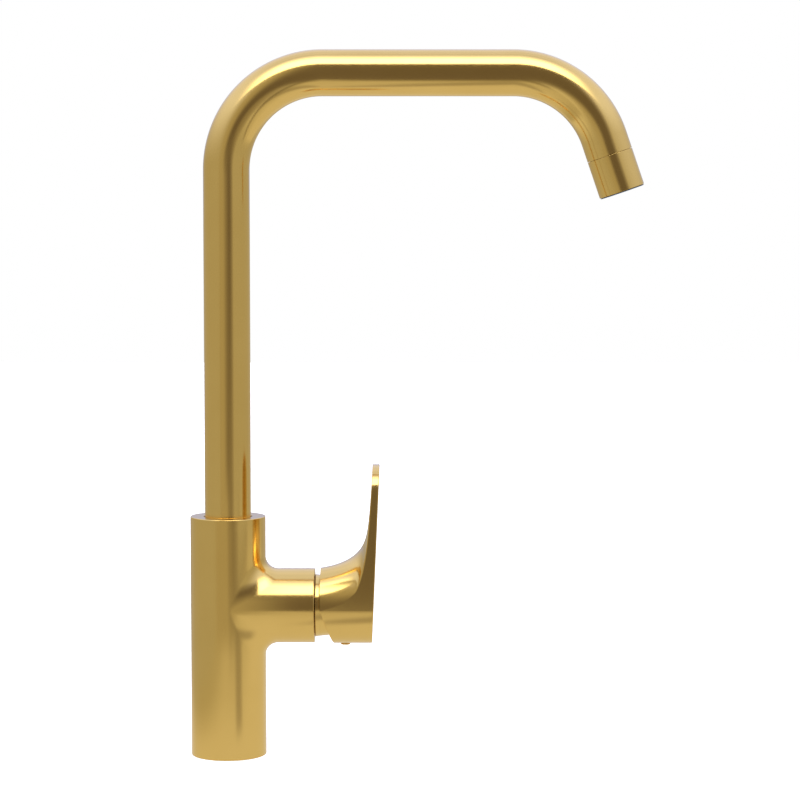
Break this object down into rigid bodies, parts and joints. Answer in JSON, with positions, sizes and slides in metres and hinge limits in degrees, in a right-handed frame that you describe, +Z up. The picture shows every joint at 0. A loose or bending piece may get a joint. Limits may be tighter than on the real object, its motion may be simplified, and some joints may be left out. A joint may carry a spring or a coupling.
{
  "type": "pull-down kitchen faucet",
  "caption": "Deck-mounted brushed gold kitchen mixer: round column, squared gooseneck spout with a short pull-down tip, and a side barrel with an upright paddle lever.",
  "frame": {"origin": "centre of the column's foot, on the deck's top surface, on the axis of the deck hole", "axes": "+Z up along the column, +X towards the side that the spout and the lever point to, +Y away from the viewer"},
  "size_m": [0.2703, 0.0452, 0.4213],
  "materials": {
    "brushed_gold": "brushed gold, satin",
    "brass": "machined",
    "stainless": "machined",
    "black_rubber": "matt",
    "white_plastic": "moulded",
    "grey_plastic": "moulded",
    "ceramic": "lapped",
    "braided_hose": "braided nylon"
  },
  "bodies": {
    "mixer": {"mixer_body": "brushed_gold", "base_insert": "brass", "base_gasket": "black_rubber", "hose_guide_bush": "white_plastic", "hot_inlet_bush": "brass", "cold_inlet_bush": "brass", "hot_riser": "stainless", "cold_riser": "stainless", "mixed_outlet_nipple": "brass", "mixed_downpipe": "stainless", "spout_retaining_screw": "stainless", "cartridge_base": "white_plastic", "hot_port_seal": "black_rubber", "cold_port_seal": "black_rubber", "mixed_port_seal": "black_rubber", "fixed_disc": "ceramic", "cartridge_housing": "white_plastic", "cartridge_nut": "brass", "dome_collar": "brushed_gold"},
    "cartridge_turn": {"cartridge_driver": "white_plastic", "pivot_pin": "stainless"},
    "valve_disc": {"moving_disc": "ceramic", "disc_carrier": "white_plastic"},
    "lever": {"lever_stem": "brass", "handle": "brushed_gold", "handle_grub_screw": "stainless", "screw_plug": "brushed_gold"},
    "spout": {"thrust_washer": "white_plastic", "spout_shank": "brass", "lower_guide_ring": "white_plastic", "upper_guide_ring": "white_plastic", "spout_tube": "brushed_gold", "spray_hose": "braided_hose", "docking_bush": "grey_plastic", "docking_magnet": "stainless"},
    "spray_head": {"head_sleeve": "brushed_gold", "docking_stem": "grey_plastic", "stem_o_ring": "black_rubber", "hose_tail": "braided_hose", "hose_ferrule": "stainless", "hose_washer": "black_rubber", "check_valve": "white_plastic", "flow_regulator": "white_plastic", "aerator_housing": "grey_plastic", "aerator_screen": "grey_plastic"}
  },
  "joints": [
    {"name": "spout_swivel", "type": "hinge", "parent": "mixer", "child": "spout", "pos_m": [0, 0, 0.124], "axis": [0, 0, 1], "continuous": true},
    {"name": "lever_turn", "type": "hinge", "parent": "mixer", "child": "cartridge_turn", "pos_m": [0.0495, 0, 0.09], "axis": [1, 0, 0], "range_deg": [-45, 45]},
    {"name": "lever_tilt", "type": "hinge", "parent": "cartridge_turn", "child": "lever", "pos_m": [0.0495, 0, 0.09], "axis": [0, 1, 0], "range_deg": [0, 23]},
    {"name": "disc_slide", "type": "slide", "parent": "cartridge_turn", "child": "valve_disc", "axis": [0, 0, 1], "range_m": [0, 0.0061]},
    {"name": "head_pull", "type": "slide", "parent": "spout", "child": "spray_head", "axis": [0.3256, 0, -0.9455], "range_m": [0, 0.25], "stiffness_N_per_m": 4, "springref_m": -0.8}
  ],
  "couplings": [
    {"joint": "disc_slide", "follows": "lever_tilt", "m_per_rad": 0.015}
  ]
}
